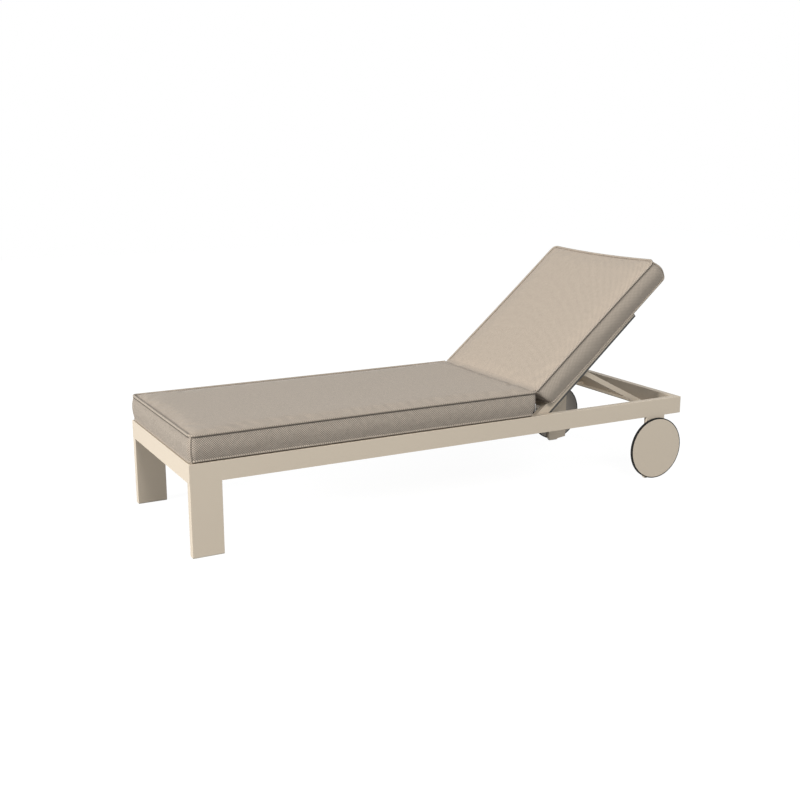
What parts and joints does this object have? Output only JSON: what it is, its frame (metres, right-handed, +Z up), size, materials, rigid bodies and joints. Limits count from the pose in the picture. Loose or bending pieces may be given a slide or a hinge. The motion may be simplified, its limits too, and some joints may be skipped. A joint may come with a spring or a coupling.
{
  "type": "sun lounger",
  "caption": "Chaise longue for outdoors: a tube frame on blade legs and disc wheels, with a slatted deck, a reclining back on a folding prop and a piped mattress.",
  "frame": {"origin": "on the floor, below the middle of the overall box", "axes": "+Z up, +Y from the foot end to the head end, +X across the width towards the side that is near in the picture"},
  "size_m": [0.6768, 2, 0.8551],
  "materials": {
    "frame_paint": "fine textured sand powder coat",
    "cushion_fabric": "two-tone taupe outdoor weave with piped edges",
    "tyre_rubber": "black rubber band",
    "dark_plastic": "moulded, matte",
    "nylon": "natural nylon",
    "steel_fastener": "stainless steel"
  },
  "bodies": {
    "frame": {"axle_bolts": "steel_fastener", "bracket_foot_left": "nylon", "bracket_foot_right": "nylon", "front_leg_left": "frame_paint", "front_leg_right": "frame_paint", "front_rail": "frame_paint", "hinge_rivets": "steel_fastener", "leg_glide_left": "nylon", "leg_glide_right": "nylon", "prop_rack_left": "frame_paint", "prop_rack_right": "frame_paint", "rear_ledge": "frame_paint", "rear_rail": "frame_paint", "seat_crossbar": "frame_paint", "seat_cushion": "cushion_fabric", "seat_slat_1": "frame_paint", "seat_slat_2": "frame_paint", "seat_slat_3": "frame_paint", "seat_slat_4": "frame_paint", "seat_slat_5": "frame_paint", "seat_slat_6": "frame_paint", "seat_slat_7": "frame_paint", "seat_slat_8": "frame_paint", "seat_slat_9": "frame_paint", "side_rail_left": "frame_paint", "side_rail_right": "frame_paint", "slat_ledge_left": "frame_paint", "slat_ledge_right": "frame_paint", "wheel_bracket_left": "frame_paint", "wheel_bracket_right": "frame_paint"},
    "backrest": {"arm_cap_left": "dark_plastic", "arm_cap_right": "dark_plastic", "arm_strip_left": "dark_plastic", "arm_strip_right": "dark_plastic", "back_arm_left": "frame_paint", "back_arm_right": "frame_paint", "back_bottom_tube": "frame_paint", "back_slat_1": "frame_paint", "back_slat_2": "frame_paint", "back_slat_3": "frame_paint", "back_slat_4": "frame_paint", "back_strip_left": "frame_paint", "back_strip_right": "frame_paint", "back_top_tube": "frame_paint", "hinge_bushes": "nylon", "prop_pins": "steel_fastener"},
    "prop": {"prop_arm_left": "frame_paint", "prop_arm_right": "frame_paint", "prop_crossbar": "frame_paint", "prop_foot_left": "nylon", "prop_foot_right": "nylon"},
    "back_pad": {"back_cushion": "cushion_fabric"},
    "wheel_left": {"wheel_bush_left": "nylon", "wheel_core_left": "frame_paint", "wheel_cover_left": "frame_paint", "wheel_tyre_left": "tyre_rubber"},
    "wheel_right": {"wheel_bush_right": "nylon", "wheel_core_right": "frame_paint", "wheel_cover_right": "frame_paint", "wheel_tyre_right": "tyre_rubber"}
  },
  "joints": [
    {"name": "backrest_recline", "type": "hinge", "parent": "frame", "child": "backrest", "pos_m": [0, 0.344, 0.287], "axis": [1, 0, 0], "range_deg": [-41.2, 20]},
    {"name": "prop_fold", "type": "hinge", "parent": "backrest", "child": "prop", "pos_m": [0, 0.53736, 0.45627], "axis": [1, 0, 0], "range_deg": [-33, 66.5]},
    {"name": "cushion_slide", "type": "slide", "parent": "backrest", "child": "back_pad", "axis": [0, 0.7524, 0.6587], "range_m": [-0.09, 0.045]},
    {"name": "wheel_left_spin", "type": "hinge", "parent": "frame", "child": "wheel_left", "pos_m": [-0.332, 0.878, 0.12], "axis": [1, 0, 0], "continuous": true},
    {"name": "wheel_right_spin", "type": "hinge", "parent": "frame", "child": "wheel_right", "pos_m": [0.332, 0.878, 0.12], "axis": [1, 0, 0], "continuous": true}
  ],
  "couplings": [
    {"joint": "prop_fold", "follows": "backrest_recline", "ratio": -1.5921},
    {"joint": "cushion_slide", "follows": "backrest_recline", "m_per_rad": 0.1197}
  ]
}
